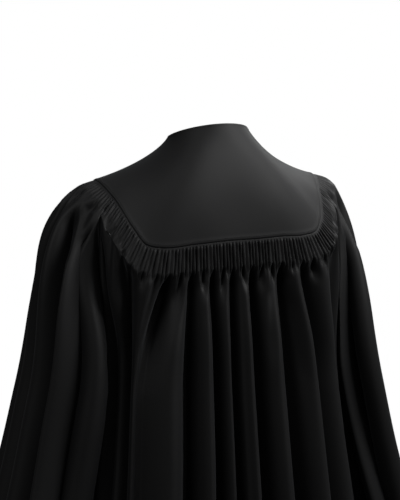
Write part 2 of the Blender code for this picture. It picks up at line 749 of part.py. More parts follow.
def grid_solid(name, widths, lengths, heights, filled, place, finish):
    """A solid of box cells. filled says which cells (width, length, height) are full, and place gives a corner."""
    bm = bmesh.new()
    corners = {}

    def corner(*key):
        if key not in corners:
            corners[key] = bm.verts.new(place(widths[key[0]], lengths[key[1]], heights[key[2]]))
        return corners[key]

    full = set(filled)
    for cell in full:
        for axis in range(3):
            for step in (0, 1):
                beyond = list(cell)
                beyond[axis] += 2 * step - 1
                if tuple(beyond) in full:
                    continue
                first, second = [other for other in range(3) if other != axis]
                ring = []
                for u, v in ((0, 0), (1, 0), (1, 1), (0, 1)):
                    key = list(cell)
                    key[axis] += step
                    key[first] += u
                    key[second] += v
                    ring.append(corner(*key))
                bm.faces.new(ring)
    bmesh.ops.recalc_face_normals(bm, faces=bm.faces)
    bmesh.ops.triangulate(bm, faces=bm.faces)
    return add_object(name, bm, finish)


def zip_path():
    """Points down the middle of the zip's outer face, and the way out of it."""
    edge = PLACE["centre front"]
    cut = front_cut()
    last = float(len(cut.folds))
    points = [yoke_point(edge, share)[0] for share in np.linspace(0, 1, 5)]
    points += [cut.surface([last], [down])[0] for down in (0.5, 1.0) + FALL_ROWS]
    points = np.array(points)
    points[:, 0] = 0
    along = unit(np.gradient(points, axis=0))
    return points, along, np.cross(along, (1.0, 0, 0))


def zip_strip(finish):
    points, along, out = zip_path()
    side = np.array([ZIP_HALF_WIDTH, 0, 0])
    bm = bmesh.new()
    rings = []
    for point, way in zip(points, out):
        inside = point - way * ZIP_THICK
        rings.append([bm.verts.new(at) for at in (point - side, point + side, inside + side, inside - side)])
    for upper, lower in zip(rings, rings[1:]):
        for corner in range(4):
            other = (corner + 1) % 4
            bm.faces.new((upper[corner], upper[other], lower[other], lower[corner]))
    bm.faces.new(rings[0])
    bm.faces.new(rings[-1])
    bmesh.ops.recalc_face_normals(bm, faces=bm.faces)
    bmesh.ops.triangulate(bm, faces=bm.faces)
    return add_object("zip_chain", bm, finish)


def slider_frame():
    """The slider's middle on the zip's outer face, the way down the zip and the way out of it."""
    points, along, out = zip_path()
    reached = np.concatenate([[0], np.cumsum(np.linalg.norm(np.diff(points, axis=0), axis=1))])
    ends = [np.array([np.interp(at, reached, points[:, axis]) for axis in range(3)])
            for at in (SLIDER_PLACE - SLIDER_HALF_LENGTH, SLIDER_PLACE + SLIDER_HALF_LENGTH)]
    way = unit(ends[1] - ends[0])
    return (ends[0] + ends[1]) / 2, way, np.cross(way, (1.0, 0, 0))


def zip_hardware(finish):
    """The slider with its bridge, and the tab whose top bar lies in the bridge."""
    middle, down, out = slider_frame()

    def place(width, length, height):
        return middle + np.array([width, 0, 0]) + down * length + out * (height + SLIDER_LIFT)

    widths = (-SLIDER_HALF_WIDTH, -BRIDGE_HALF_WIDTH, BRIDGE_HALF_WIDTH, SLIDER_HALF_WIDTH)
    lengths = (-SLIDER_HALF_LENGTH, -BRIDGE_HALF_LENGTH, POST - BRIDGE_HALF_LENGTH,
               BRIDGE_HALF_LENGTH - POST, BRIDGE_HALF_LENGTH, SLIDER_HALF_LENGTH)
    opening = SLIDER_THICK + BRIDGE_OPENING
    heights = (0, SLIDER_THICK, opening, opening + BRIDGE_BAR)
    base = [(i, j, 0) for i in range(3) for j in range(5)]
    bridge = [(1, 1, 1), (1, 3, 1), (1, 1, 2), (1, 2, 2), (1, 3, 2)]
    grid_solid("zip_slider", widths, lengths, heights, base + bridge, place, finish)

    pin = -BRIDGE_HALF_LENGTH + POST + SEAM_GAP + TAB_BAR / 2
    under = SLIDER_THICK + (BRIDGE_OPENING - TAB_THICK) / 2
    widths = (-TAB_HALF_WIDTH, TAB_RAIL - TAB_HALF_WIDTH, TAB_HALF_WIDTH - TAB_RAIL, TAB_HALF_WIDTH)
    lengths = (pin - TAB_BAR / 2, pin + TAB_BAR / 2, pin + TAB_WINDOW, pin + TAB_LENGTH)
    rails = [(0, 1, 0), (2, 1, 0)]
    across = [(i, j, 0) for i in range(3) for j in (0, 2)]
    grid_solid("zip_pull_tab", widths, lengths, (under, under + TAB_THICK), across + rails, place, finish)


def build():
    for old in list(bpy.data.objects):
        bpy.data.objects.remove(old)
    cloth = material("matte_black_cloth", (0.012, 0.012, 0.013), 0.85)
    shoulder = PLACE["shoulder"]
    front = PLACE["centre front"]
    yoke_wall("yoke_back", shoulder, -shoulder, 36, keep_back_yoke, cloth)
    yoke_wall("yoke_front_left", front, shoulder, 14, keep_front_yoke, cloth)
    yoke_wall("yoke_front_right", front, shoulder, 14, keep_front_yoke, cloth, mirror=True)
    cloth_wall("back", back_cut(), cloth)
    cloth_wall("front_left", front_cut(), cloth)
    cloth_wall("front_right", front_cut(), cloth, mirror=True)
    left = sleeve_cut(LEFT_SLEEVE_FOLDS, LEFT_SLEEVE_RINGS, LEFT_FULLNESS, LEFT_SPREAD)
    right = sleeve_cut(RIGHT_SLEEVE_FOLDS, RIGHT_SLEEVE_RINGS, RIGHT_FULLNESS, RIGHT_SPREAD)
    cloth_wall("sleeve_left", left, cloth, closed=True)
    cloth_wall("sleeve_right", right, cloth, closed=True, mirror=True)
    zip_strip(material("black_zip_tape", (0.010, 0.010, 0.011), 0.6))
    zip_hardware(material("black_metal", (0.03, 0.03, 0.032), 0.35, 1.0))


build()
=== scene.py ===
"""The black graduation gown, dressed.

A smooth yoke with a fluted band under it, a gathered back and fronts, bell sleeves and a front zip.
The cloth follows the rings and seams of the solids, in metres. Its folds are half as deep again and lean to
one side, and some folds of the back and the sleeves have sizes of their own.
"""

import math
from collections import namedtuple
from functools import partial

import bmesh
import bpy
import numpy as np
from mathutils import Matrix, Vector
from mathutils.bvhtree import BVHTree


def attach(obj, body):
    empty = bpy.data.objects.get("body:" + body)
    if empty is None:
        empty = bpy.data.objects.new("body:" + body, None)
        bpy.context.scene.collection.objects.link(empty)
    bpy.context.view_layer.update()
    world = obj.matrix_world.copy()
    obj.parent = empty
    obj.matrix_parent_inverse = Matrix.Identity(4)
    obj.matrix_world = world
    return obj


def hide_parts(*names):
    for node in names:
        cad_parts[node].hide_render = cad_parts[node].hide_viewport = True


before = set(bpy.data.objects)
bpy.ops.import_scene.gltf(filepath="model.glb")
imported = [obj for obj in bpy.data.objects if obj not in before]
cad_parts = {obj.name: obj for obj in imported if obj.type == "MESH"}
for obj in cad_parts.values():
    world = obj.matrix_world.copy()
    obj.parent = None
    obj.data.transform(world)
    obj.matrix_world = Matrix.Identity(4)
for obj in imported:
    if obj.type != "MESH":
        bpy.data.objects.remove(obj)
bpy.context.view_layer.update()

# Cloth and sewing
CLOTH = 0.0010
YOKE_CLOTH = 0.0015
YOKE_LIFT = 0.0010
SEAM_GAP = 0.0003
SEAM_ALLOWANCE = 0.005
SEAM_UNDER = 0.0018
FLUTED_BAND = 0.042
FLUTE = 0.0034
FLAT_STRIP = 0.13
LONG_FLUTES = 1.04
SHORT_FLUTES = 0.42
FLUTE_SLACK = 0.7
GATHER_OPENING = 0.24
PUFF = 0.0022
TUCK = 0.0025
TUCK_DEPTH = 0.0017
STITCH_PITCH = 0.0042
STITCH = (0.0014, 0.00032, 0.00022)
SEWN_IN = 0.0045
YOKE_STITCH_LIFT = 0.0005
CUT_STITCH_LIFT = 0.0001
SEAM_RIDGE = 0.0003
SEAM_RIDGE_PLACE = 0.004
SEAM_RIDGE_WIDTH = 0.005
SEAM_ROLL = 0.0009
SEAM_ROLL_WIDTH = 0.0015
TURNED_HEM = 0.020
TOOTH_PITCH = 0.0028
TOOTH = (0.0024, 0.0016, 0.0011)
TOOTH_ASIDE = 0.0006
TOOTH_PROUD = 0.0003
TEETH_START = 0.012325
TEETH_END = 0.006
GUTTER = 0.08
ROUNDNESS = 2.0
DEEPER = 1.5
VALLEY_SHARE = 0.62
LEAN = 1.0
LEFT_FULLNESS = 0.28
RIGHT_FULLNESS = 0.25
LEFT_SPREAD = 0.75
RIGHT_SPREAD = 0.53

# Neckline
NECK_HALF_WIDTH = 0.065
NAPE_RISE = 0.033
SIDE_RISE = 0.011
V_DEPTH = 0.098
V_DROP = 0.095
NECK_SLOPE_BACK = math.radians(66)
NECK_SLOPE_SIDE = math.radians(62)
RIGHT_CORNER_RISE = 0.009
RIGHT_SHOULDER_DROP = 0.0055
YOKE_BULGE = 0.012
YOKE_EASE = 0.045

# Heights
LOW_Z = -0.38
CUFF_Z = -0.68
HEM_Z = -1.184
BELOW_CUFF_Z = CUFF_Z - 0.05
ARMHOLE_TOP_Z = -0.1055
UNDERARM = (0.2020, 0.0, -0.268)
FLOOR_Z = -1.46
FLOOR_GLOW = 0.72

ZIP_HALF_WIDTH = 0.0042
ZIP_LAP = 0.0012

BODY_SQUARENESS = 3.0
SLEEVE_SQUARENESS = 2.3
SAMPLES = 181
NUDGE = 1e-3
ACROSS = 0.03

# The yoke's sewn edge, from the centre back over the wearer's left shoulder to the centre front. Each row
# has the point on the edge, the way the cloth falls from it, and the angle of the neckline that faces it.
EdgeRow = namedtuple("EdgeRow", "place x y z out back down neck_angle")
YOKE_EDGE = (
    EdgeRow("centre back", 0.000, 0.1140, -0.144, 0.00, 0.12, 0.99, 0),
    EdgeRow("back", 0.070, 0.1125, -0.147, 0.05, 0.13, 0.99, 32),
    EdgeRow("inside corner", 0.122, 0.1070, -0.150, 0.25, 0.17, 0.95, 50),
    EdgeRow("back corner", 0.146, 0.0990, -0.145, 0.45, 0.19, 0.87, 58),
    EdgeRow("shoulder blade", 0.161, 0.0860, -0.122, 0.62, 0.20, 0.76, 65),
    EdgeRow("back armhole", 0.178, 0.0470, -0.077, 0.70, 0.20, 0.68, 78),
    EdgeRow("shoulder", 0.190, 0.0000, -0.053, 0.96, 0.00, 0.26, 90),
    EdgeRow("front armhole", 0.178, -0.0480, -0.080, 0.70, -0.20, 0.68, 102),
    EdgeRow("chest", 0.163, -0.0860, -0.122, 0.58, -0.24, 0.78, 115),
    EdgeRow("front corner", 0.146, -0.1040, -0.148, 0.40, -0.26, 0.88, 124),
    EdgeRow("front", 0.080, -0.1250, -0.155, 0.08, -0.22, 0.97, 150),
    EdgeRow("centre front", 0.0045, -0.1320, -0.152, 0.00, -0.20, 0.98, 180),
)

# The armhole between the end of the fluted band and the underarm, at the back. The front is its mirror.
ArmholeRow = namedtuple("ArmholeRow", "y z")
ARMHOLE = (
    ArmholeRow(0.048, -0.150),
    ArmholeRow(0.036, -0.200),
    ArmholeRow(0.020, -0.244),
)

# How far out the body reaches before the sleeve begins, at each height.
SLEEVE_WRAP = 0.020
SLEEVE_CLEAR = 0.0035
DivideRow = namedtuple("DivideRow", "z x")
DIVIDE = (
    DivideRow(BELOW_CUFF_Z, 0.262),
    DivideRow(CUFF_Z, 0.254),
    DivideRow(-0.50, 0.227),
    DivideRow(LOW_Z, 0.210),
    DivideRow(UNDERARM[2], UNDERARM[0]),
    DivideRow(-0.20, 0.2030),
    DivideRow(-0.15, 0.2035),
    DivideRow(ARMHOLE_TOP_Z, 0.2030),
)

BodyRing = namedtuple("BodyRing", "z half_width back front")
BODY_RINGS = (
    BodyRing(HEM_Z, 0.340, 0.240, 0.245),
    BodyRing(-0.900, 0.288, 0.203, 0.212),
    BodyRing(CUFF_Z, 0.246, 0.172, 0.184),
    BodyRing(-0.520, 0.222, 0.152, 0.165),
    BodyRing(LOW_Z, 0.207, 0.134, 0.146),
)

SleeveRing = namedtuple("SleeveRing", "z inner outer back front")
LEFT_SLEEVE_RINGS = (
    SleeveRing(CUFF_Z, 0.262, 0.370, 0.118, -0.168),
    SleeveRing(-0.520, 0.232, 0.324, 0.102, -0.138),
    SleeveRing(LOW_Z, 0.206, 0.292, 0.098, -0.124),
)
RIGHT_SLEEVE_RINGS = (
    SleeveRing(CUFF_Z, 0.262, 0.362, 0.114, -0.168),
    SleeveRing(-0.520, 0.232, 0.313, 0.097, -0.136),
    SleeveRing(LOW_Z, 0.206, 0.281, 0.091, -0.120),
)

# Folds from one seam to the next. crest is the share of a fold's width where it stands highest.
Fold = namedtuple("Fold", "gathers low_width hem_width high_depth depth crest")
BACK_FOLDS = (
    Fold(0, 13.0, 14, 0.004, 0.010, 0.50),
    Fold(0, 13.0, 14, 0.004, 0.010, 0.50),
    Fold(5, 10.4, 15, 0.020, 0.010, 0.45),
    Fold(3, 5.5, 10, 0.022, 0.006, 0.50),
    Fold(2, 27.5, 20, 0.018, 0.026, 0.60),
    Fold(2, 16.3, 17, 0.020, 0.025, 0.56),
    Fold(2, 9.8, 14, 0.014, 0.018, 0.54),
    Fold(2, 14.1, 16, 0.020, 0.024, 0.54),
    Fold(3, 19.1, 18, 0.022, 0.027, 0.55),
    Fold(2, 20.8, 18, 0.022, 0.027, 0.60),
    Fold(3, 16.5, 16, 0.020, 0.024, 0.60),
    Fold(3, 7.0, 13, 0.014, 0.012, 0.60),
    Fold(2, 5.0, 11, 0.008, 0.008, 0.50),
    Fold(0, 11.0, 12, 0.004, 0.008, 0.50),
    Fold(0, 11.0, 12, 0.004, 0.008, 0.50),
)
FRONT_FOLDS = (
    Fold(0, 12, 12, 0.004, 0.008, 0.50),
    Fold(0, 12, 12, 0.004, 0.010, 0.50),
    Fold(2, 10, 13, 0.014, 0.016, 0.45),
    Fold(2, 13, 15, 0.018, 0.022, 0.60),
    Fold(2, 23, 19, 0.018, 0.028, 0.36),
    Fold(2, 18, 17, 0.014, 0.022, 0.60),
    Fold(1, 12, 12, 0.002, 0.003, 0.50),
)
LEFT_SLEEVE_FOLDS = (
    Fold(0, 10, 10, 0.004, 0.006, 0.50),
    Fold(0, 18, 16, 0.024, 0.034, 0.38),
    Fold(2, 10, 11, 0.026, 0.034, 0.60),
    Fold(2, 16, 15, 0.024, 0.030, 0.45),
    Fold(2, 10, 10, 0.012, 0.014, 0.50),
    Fold(2, 9, 11, 0.014, 0.018, 0.45),
    Fold(0, 10, 11, 0.012, 0.018, 0.55),
    Fold(0, 9, 9, 0.008, 0.014, 0.50),
    Fold(0, 8, 8, 0.004, 0.006, 0.50),
)
RIGHT_SLEEVE_FOLDS = (
    Fold(0, 12, 12, 0.004, 0.008, 0.50),
    Fold(0, 7, 11, 0.020, 0.026, 0.66),
    Fold(2, 16, 13, 0.022, 0.028, 0.60),
    Fold(2, 12, 12, 0.014, 0.020, 0.55),
    Fold(2, 11, 11, 0.014, 0.018, 0.50),
    Fold(2, 11, 11, 0.014, 0.020, 0.45),
    Fold(0, 12, 12, 0.012, 0.020, 0.50),
    Fold(0, 11, 11, 0.008, 0.016, 0.55),
    Fold(0, 8, 8, 0.004, 0.006, 0.50),
)

# Creases laid over the folds: a soft trough that runs down the cloth from one column to another. One with
# a negative depth is a ridge. top and bottom are heights down the cut: 1 is the band's lower edge, 2 the
# ring below the armhole and 3 the hem or cuff. width is in columns.
Crease = namedtuple("Crease", "top_column bottom_column top bottom depth width")
BACK_CREASES = (
    Crease(4.30, 3.75, 1.18, 1.80, 0.006, 0.20),
    Crease(4.00, 4.00, 1.50, 3.60, -0.016, 0.36),
    Crease(3.05, 2.90, 1.06, 2.60, 0.010, 0.26),
    Crease(2.55, 2.45, 1.45, 3.00, 0.018, 0.60),
    Crease(8.60, 8.35, 1.20, 1.90, 0.005, 0.14),
    Crease(9.30, 9.45, 1.25, 2.20, 0.004, 0.12),
)
FRONT_CREASES = (
    Crease(3.60, 3.20, 1.15, 1.95, 0.008, 0.14),
    Crease(5.30, 5.55, 1.60, 2.60, 0.006, 0.16),
    Crease(4.40, 4.25, 2.10, 2.90, 0.007, 0.12),
)
LEFT_SLEEVE_CREASES = (
    Crease(2.15, 2.00, 1.06, 3.60, 0.026, 0.26),
    Crease(3.05, 3.00, 1.04, 3.60, 0.026, 0.24),
    Crease(2.90, 2.70, 1.04, 1.40, 0.008, 0.12),
    Crease(1.60, 1.45, 1.25, 2.20, 0.006, 0.10),
    Crease(4.30, 4.60, 1.06, 1.70, 0.007, 0.14),
    Crease(6.40, 6.20, 1.50, 2.40, 0.006, 0.16),
)
RIGHT_SLEEVE_CREASES = (
    Crease(2.02, 2.05, 1.02, 3.00, 0.008, 0.15),
    Crease(2.90, 2.70, 1.04, 1.40, 0.008, 0.12),
    Crease(1.60, 1.45, 1.25, 2.20, 0.006, 0.10),
    Crease(4.30, 4.60, 1.06, 1.70, 0.007, 0.14),
    Crease(6.40, 6.20, 1.50, 2.40, 0.006, 0.16),
)


def smooth(at, stations, values):
    """The values at some places on a smooth curve through a table's rows."""
    at = np.atleast_1d(np.asarray(at, float))
    stations = np.asarray(stations, float)
    values = np.asarray(values, float)
    slopes = np.gradient(values, stations, axis=0)
    row = np.clip(np.searchsorted(stations, at, side="right") - 1, 0, len(stations) - 2)
    step = stations[row + 1] - stations[row]
    t = np.clip((at - stations[row]) / step, 0, 1)
    if values.ndim == 2:
        t = t[:, None]
        step = step[:, None]
    return (
        (1 + 2 * t) * (1 - t) ** 2 * values[row]
        + t * (1 - t) ** 2 * step * slopes[row]
        + t * t * (3 - 2 * t) * values[row + 1]
        + t * t * (t - 1) * step * slopes[row + 1]
    )


def unit(vectors):
    return vectors / np.linalg.norm(vectors, axis=-1, keepdims=True)


def ease(t):
    """0 before 0, 1 after 1, and a smooth step between."""
    t = np.clip(t, 0, 1)
    return t * t * (3 - 2 * t)


def uneven(number, low, high):
    """A steady choice between two sizes, different for each number."""
    return low + (high - low) * (math.sin(number * 12.9898 + 4.1) * 43758.5453 % 1)


def column_of(rows, *names):
    return np.array([[getattr(row, name) for name in names] for row in rows], float).squeeze()


# The yoke's edge is measured along itself, from the centre back. A negative place is on the wearer's right.
EDGE_POINTS = column_of(YOKE_EDGE, "x", "y", "z")
EDGE_FALL = column_of(YOKE_EDGE, "out", "back", "down") * (1, 1, -1)
EDGE_PLACES = np.concatenate([[0], np.cumsum(np.linalg.norm(np.diff(EDGE_POINTS, axis=0), axis=1))])
PLACE = {row.place: place for row, place in zip(YOKE_EDGE, EDGE_PLACES)}


def mirrored_table(values, odd):
    """A half table with its mirror before it, so that a curve through it is smooth at the centre back."""
    return np.concatenate([values[:0:-1] * odd, values])


BOTH_PLACES = mirrored_table(EDGE_PLACES, -1)
BOTH_POINTS = mirrored_table(EDGE_POINTS, np.array([-1, 1, 1]))
BOTH_FALLS = mirrored_table(EDGE_FALL, np.array([-1, 1, 1]))
BOTH_ANGLES = mirrored_table(column_of(YOKE_EDGE, "neck_angle"), -1)

# How strongly the flutes show along the yoke's edge. They are faint on top of the shoulders.
FluteRow = namedtuple("FluteRow", "place depth")
FLUTE_DEPTHS = (
    FluteRow(-0.45, 0.7),
    FluteRow(-0.29, 0.45),
    FluteRow(-0.22, 0.8),
    FluteRow(-0.14, 1.0),
    FluteRow(0.17, 1.1),
    FluteRow(0.235, 0.9),
    FluteRow(0.29, 0.35),
    FluteRow(0.45, 0.7),
)


def yoke_edge(place):
    """The yoke's sewn edge. Its back corner on the wearer's right hangs a little higher."""
    points = smooth(place, BOTH_PLACES, BOTH_POINTS)
    right = -np.asarray(place, float)
    corner = PLACE["back corner"]
    points[:, 2] += RIGHT_CORNER_RISE * ease(right / corner) * (1 - ease((right - corner) / 0.06))
    return points


def yoke_fall(place):
    return unit(smooth(place, BOTH_PLACES, BOTH_FALLS))


def flutes_end(place):
    """How far down the band its flutes reach. Over the arms they open into gathers sooner."""
    over_arm = ease((np.abs(place) - PLACE["back corner"]) / 0.06)
    over_arm = over_arm * (1 - ease((np.abs(place) - PLACE["chest"]) / 0.06))
    return LONG_FLUTES - SHORT_FLUTES * over_arm


def neckline(place):
    """The neckline's point that faces a place on the yoke's edge: round at the back, a V in front."""
    angle = np.radians(smooth(place, BOTH_PLACES, BOTH_ANGLES))
    side = np.sign(angle)
    turn = np.abs(angle)
    front = np.clip(turn / (math.pi / 2) - 1, 0, 1)
    at_back = turn <= math.pi / 2
    x = np.where(at_back, NECK_HALF_WIDTH * np.sin(turn), NECK_HALF_WIDTH * (1 - front**2))
    y = np.where(at_back, NECK_HALF_WIDTH * np.cos(turn), -V_DEPTH * front)
    z = SIDE_RISE + np.where(at_back, (NAPE_RISE - SIDE_RISE) * np.cos(turn), -(V_DROP + SIDE_RISE) * front)
    return np.stack([side * np.maximum(x, EDGE_POINTS[-1, 0] * front), y, z], axis=1)


def yoke_point(place, share):
    """A point of the yoke, from the neckline (0) to its sewn edge (1)."""
    start = neckline(place)
    end = yoke_edge(place)
    fall = yoke_fall(place)
    span = np.linalg.norm(end - start, axis=1, keepdims=True)
    turn = np.radians(np.abs(smooth(place, BOTH_PLACES, BOTH_ANGLES)))
    slope = NECK_SLOPE_SIDE + (NECK_SLOPE_BACK - NECK_SLOPE_SIDE) * np.cos(turn) ** 2
    outward = unit((end - start) * (1, 1, 0))
    leave = outward * np.cos(slope)[:, None] - np.sin(slope)[:, None] * np.array([0, 0, 1])
    t = np.asarray(share, float).reshape(-1, 1)
    at_back = ease(turn / 0.8) * (1 - ease((turn - 1.0) / 0.5))
    at_front = ease((turn - 1.6) / 0.5) * (1 - ease((turn - 2.3) / 0.6))
    bulge = YOKE_BULGE * (at_back[:, None] * (0, 0.85, 0.5) + at_front[:, None] * (0, -0.5, 0.3))
    return (
        (1 - t) ** 3 * start
        + 3 * t * (1 - t) ** 2 * (start + leave * span / 5)
        + 3 * t * t * (1 - t) * (end - fall * span / 3)
        + t**3 * end
        + 16 * t * t * (1 - t) ** 2 * bulge
    )


def draped_yoke(place, share):
    """A point of the yoke with its form eased along the seam, as cloth spans the hollows under it."""
    place = np.asarray(place, float)
    share = np.broadcast_to(np.asarray(share, float), place.shape)
    offsets = np.linspace(-2.2, 2.2, 11)
    weights = np.exp(-offsets**2 / 2) / np.exp(-offsets**2 / 2).sum()
    point = yoke_point(place, share)
    eased = 0
    for offset, weight in zip(offsets, weights):
        eased = eased + weight * yoke_point(place + offset * YOKE_EASE, share)
    from_shoulder = (np.abs(place) - PLACE["shoulder"]) / YOKE_EASE
    free = 16 * share**2 * (1 - share) ** 2 * (1 - 0.85 * np.exp(-from_shoulder**2))
    free = free * ease((EDGE_PLACES[-1] - np.abs(place)) / (3 * YOKE_EASE))
    return point + (eased - point) * free[:, None]


def squared(value, squareness):
    """A sine or cosine that makes a circle into a rounded box."""
    return np.sign(value) * np.abs(value) ** (2 / squareness)


def arc_shares(first_axis, second_axis, turn, squareness):
    """Angles round a rounded box and the share of its length that each has reached."""
    angles = np.linspace(0, turn, SAMPLES)
    along = first_axis * squared(np.cos(angles), squareness)
    aside = second_axis * squared(np.sin(angles), squareness)
    length = np.concatenate([[0], np.cumsum(np.hypot(np.diff(along), np.diff(aside)))])
    return angles, length / length[-1]


BODY_ANGLES, BODY_SHARES = arc_shares(0.68, 1, math.pi / 2, BODY_SQUARENESS)
SLEEVE_ANGLES, SLEEVE_SHARES = arc_shares(0.42, 1, math.pi, SLEEVE_SQUARENESS)


def body_ring(share, z):
    """A point on the ring round the body: 0 is the centre back, 1 the wearer's left side, 2 the front."""
    rings = BODY_RINGS
    heights = [row.z for row in rings]
    half_width = smooth(z, heights, column_of(rings, "half_width"))
    back = smooth(z, heights, column_of(rings, "back"))
    front = smooth(z, heights, column_of(rings, "front"))
    turn = np.abs(share)
    at_back = turn <= 1
    angle = np.interp(np.where(at_back, turn, 2 - turn), BODY_SHARES, BODY_ANGLES)
    x = np.sign(share) * half_width * squared(np.sin(angle), BODY_SQUARENESS)
    y = np.where(at_back, back, -front) * squared(np.cos(angle), BODY_SQUARENESS)
    return np.stack([x, y, np.broadcast_to(z, x.shape)], axis=1)


def sleeve_ring(rings, share, z):
    """A point on the ring round the left arm.

    0 is the outside, 1 the underarm by way of the back, and -1 the underarm by way of the front.
    """
    heights = [row.z for row in rings]
    inner = smooth(z, heights, column_of(rings, "inner"))
    outer = smooth(z, heights, column_of(rings, "outer"))
    back = smooth(z, heights, column_of(rings, "back"))
    front = smooth(z, heights, column_of(rings, "front"))
    angle = np.interp(np.abs(share), SLEEVE_SHARES, SLEEVE_ANGLES)
    x = (inner + outer) / 2 + (outer - inner) / 2 * squared(np.cos(angle), SLEEVE_SQUARENESS)
    y = (back + front) / 2 + np.sign(share) * (back - front) / 2 * squared(np.sin(angle), SLEEVE_SQUARENESS)
    return np.stack([x, y, np.broadcast_to(z, x.shape)], axis=1)


def divide(z, y=0.0):
    """How far out the body may reach at a height."""
    wrap = SLEEVE_WRAP * ease((np.abs(y) - 0.02) / 0.09) * ease((-0.24 - np.asarray(z)) / 0.20)
    return smooth(z, column_of(DIVIDE, "z"), column_of(DIVIDE, "x")) - wrap


def band_end(place):
    """The lower edge of the fluted band."""
    return yoke_edge(place) + yoke_fall(place) * FLUTED_BAND


def armhole(share, front):
    """The armhole seam on the wearer's left, from the end of the fluted band (0) to the underarm (1)."""
    flip = -1 if front else 1
    start = band_end(np.array([PLACE["front armhole" if front else "back armhole"]]))[0]
    rows = [start]
    rows += [(divide(row.z)[0], flip * row.y, row.z) for row in ARMHOLE]
    rows += [UNDERARM]
    points = np.array(rows)
    places = np.concatenate([[0], np.cumsum(np.linalg.norm(np.diff(points, axis=0), axis=1))])
    return smooth(np.asarray(share, float) * places[-1], places, points)


